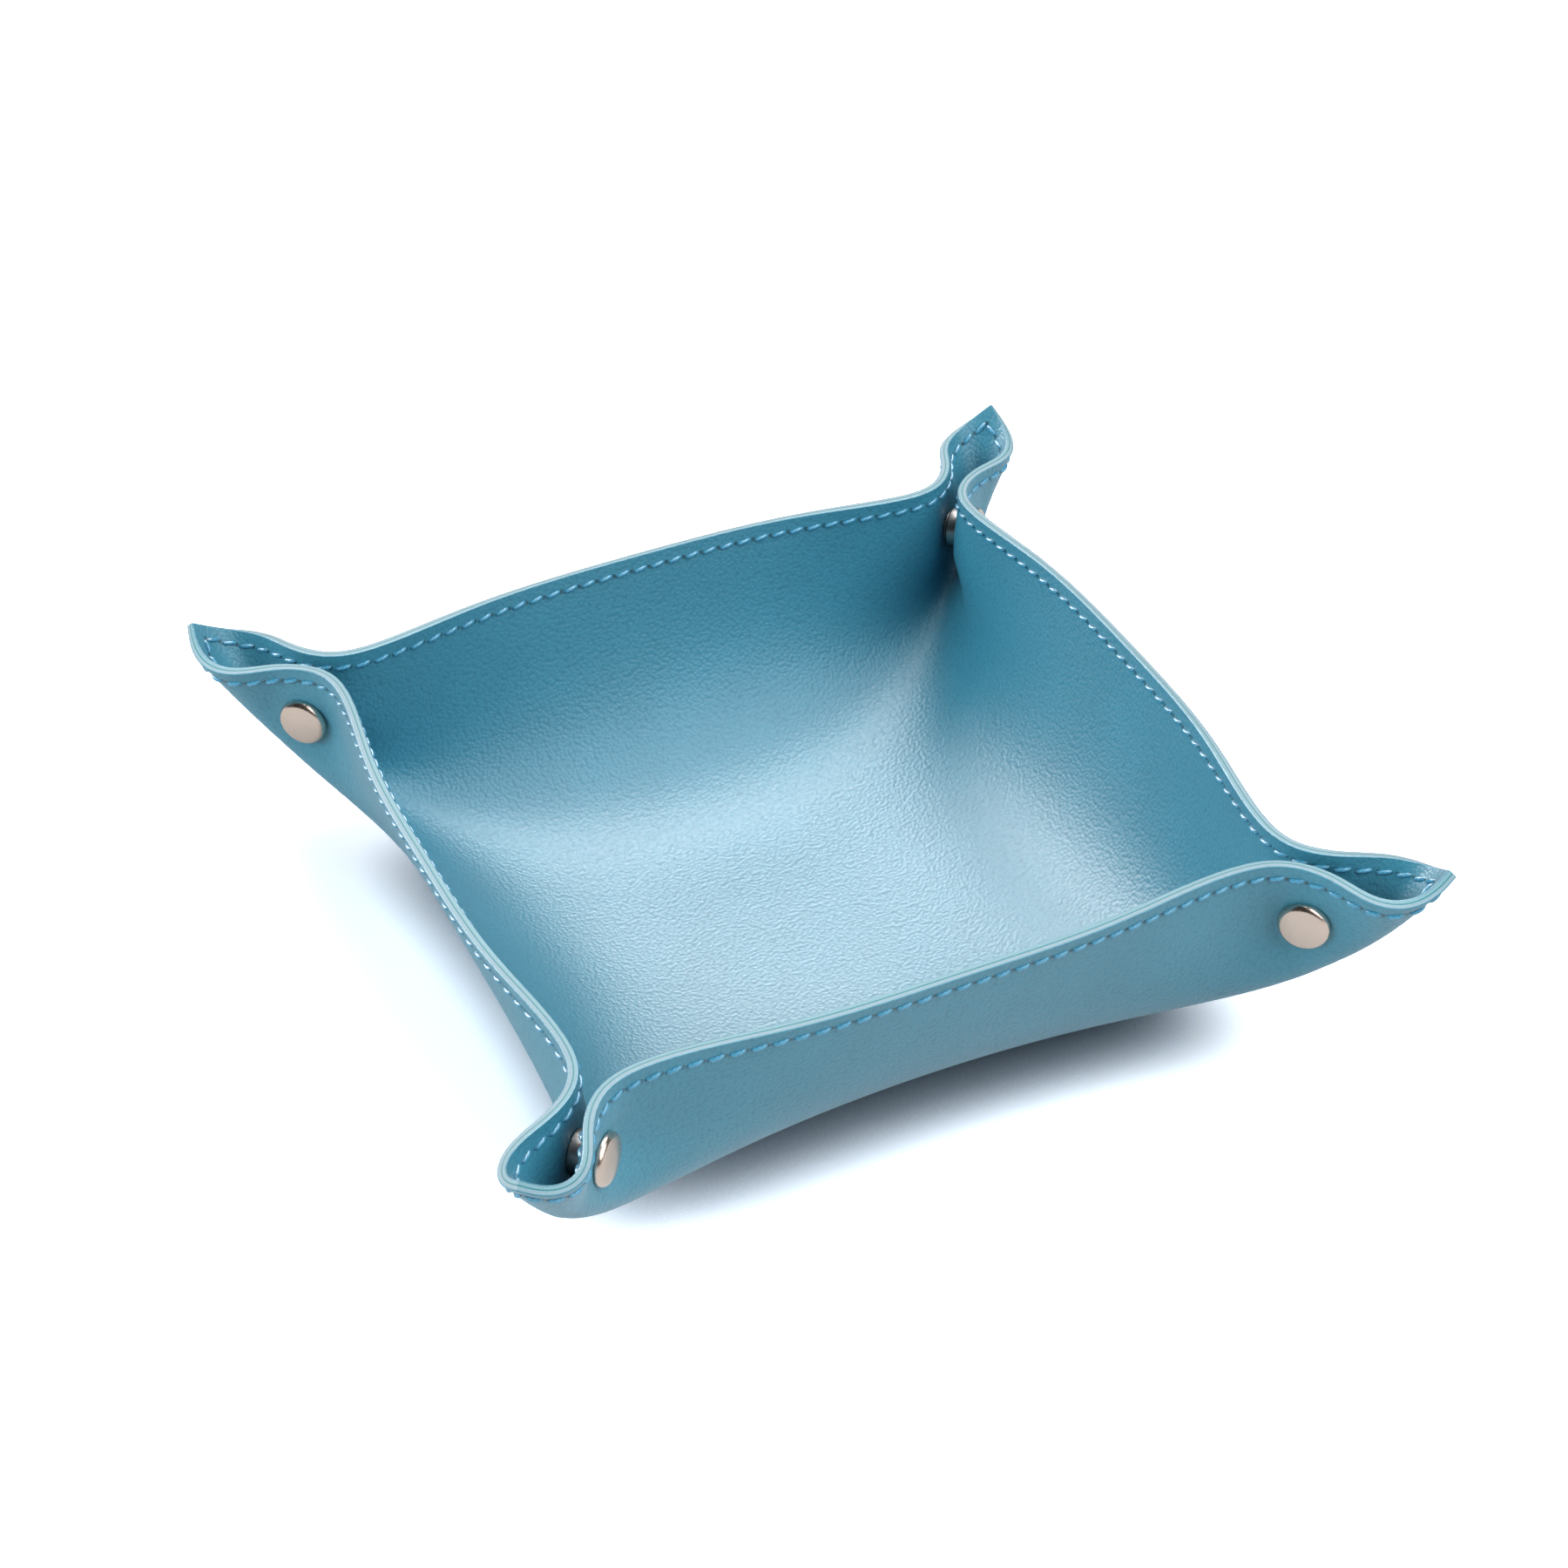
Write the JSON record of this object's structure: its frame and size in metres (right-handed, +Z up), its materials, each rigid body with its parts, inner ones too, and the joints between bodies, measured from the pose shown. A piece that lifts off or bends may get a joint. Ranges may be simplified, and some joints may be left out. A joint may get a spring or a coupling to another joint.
{
  "type": "jewelry tray",
  "caption": "Square leather valet tray pinched at its corners by ring snaps, so the sides stand up and the corners point out as ears.",
  "frame": {"origin": "on the table under the middle of the tray, at the underside of the flat floor", "axes": "+Z up, +X towards the wall on the right, +Y towards the wall at the back; the socket halves of the snaps are on the walls that face +X and -X, the stud halves on those that face +Y and -Y"},
  "size_m": [0.1818, 0.1818, 0.0502],
  "materials": {
    "outer_leather": "fine pebbled grain, soft satin, grey teal blue",
    "lining_leather": "fine pebbled grain, soft satin, teal blue",
    "seam_thread": "bonded sewing thread, mid blue",
    "nickel_cap": "polished nickel plate, slightly warm",
    "plated_steel": "plain nickel plated steel"
  },
  "bodies": {
    "tray": {"leather_outer": "outer_leather", "leather_lining": "lining_leather", "thread_needle": "seam_thread", "thread_bobbin": "seam_thread"},
    "socket_half_front_left": {"cap_socket_front_left": "nickel_cap", "rivet_front_left": "plated_steel", "socket_front_left": "plated_steel", "spring_front_left": "plated_steel"},
    "stud_half_front_left": {"cap_stud_front_left": "nickel_cap", "stud_post_front_left": "plated_steel", "stud_front_left": "plated_steel"},
    "socket_half_front_right": {"cap_socket_front_right": "nickel_cap", "rivet_front_right": "plated_steel", "socket_front_right": "plated_steel", "spring_front_right": "plated_steel"},
    "stud_half_front_right": {"cap_stud_front_right": "nickel_cap", "stud_post_front_right": "plated_steel", "stud_front_right": "plated_steel"},
    "socket_half_back_right": {"cap_socket_back_right": "nickel_cap", "rivet_back_right": "plated_steel", "socket_back_right": "plated_steel", "spring_back_right": "plated_steel"},
    "stud_half_back_right": {"cap_stud_back_right": "nickel_cap", "stud_post_back_right": "plated_steel", "stud_back_right": "plated_steel"},
    "socket_half_back_left": {"cap_socket_back_left": "nickel_cap", "rivet_back_left": "plated_steel", "socket_back_left": "plated_steel", "spring_back_left": "plated_steel"},
    "stud_half_back_left": {"cap_stud_back_left": "nickel_cap", "stud_post_back_left": "plated_steel", "stud_back_left": "plated_steel"}
  },
  "joints": [
    {"name": "socket_pull_front_left", "type": "slide", "parent": "tray", "child": "socket_half_front_left", "axis": [-0.7071, 0.7071, 0], "range_m": [0, 0.009], "deforming": ["leather_outer", "leather_lining", "thread_needle", "thread_bobbin"]},
    {"name": "stud_pull_front_left", "type": "slide", "parent": "tray", "child": "stud_half_front_left", "axis": [0.7071, -0.7071, 0], "range_m": [0, 0.009], "deforming": ["leather_outer", "leather_lining", "thread_needle", "thread_bobbin"]},
    {"name": "socket_pull_front_right", "type": "slide", "parent": "tray", "child": "socket_half_front_right", "axis": [0.7071, 0.7071, 0], "range_m": [0, 0.009], "deforming": ["leather_outer", "leather_lining", "thread_needle", "thread_bobbin"]},
    {"name": "stud_pull_front_right", "type": "slide", "parent": "tray", "child": "stud_half_front_right", "axis": [-0.7071, -0.7071, 0], "range_m": [0, 0.009], "deforming": ["leather_outer", "leather_lining", "thread_needle", "thread_bobbin"]},
    {"name": "socket_pull_back_right", "type": "slide", "parent": "tray", "child": "socket_half_back_right", "axis": [0.7071, -0.7071, 0], "range_m": [0, 0.009], "deforming": ["leather_outer", "leather_lining", "thread_needle", "thread_bobbin"]},
    {"name": "stud_pull_back_right", "type": "slide", "parent": "tray", "child": "stud_half_back_right", "axis": [-0.7071, 0.7071, 0], "range_m": [0, 0.009], "deforming": ["leather_outer", "leather_lining", "thread_needle", "thread_bobbin"]},
    {"name": "socket_pull_back_left", "type": "slide", "parent": "tray", "child": "socket_half_back_left", "axis": [-0.7071, -0.7071, 0], "range_m": [0, 0.009], "deforming": ["leather_outer", "leather_lining", "thread_needle", "thread_bobbin"]},
    {"name": "stud_pull_back_left", "type": "slide", "parent": "tray", "child": "stud_half_back_left", "axis": [0.7071, 0.7071, 0], "range_m": [0, 0.009], "deforming": ["leather_outer", "leather_lining", "thread_needle", "thread_bobbin"]}
  ],
  "couplings": [
    {"joint": "stud_pull_front_left", "follows": "socket_pull_front_left", "ratio": 1},
    {"joint": "stud_pull_front_right", "follows": "socket_pull_front_right", "ratio": 1},
    {"joint": "stud_pull_back_right", "follows": "socket_pull_back_right", "ratio": 1},
    {"joint": "stud_pull_back_left", "follows": "socket_pull_back_left", "ratio": 1}
  ]
}
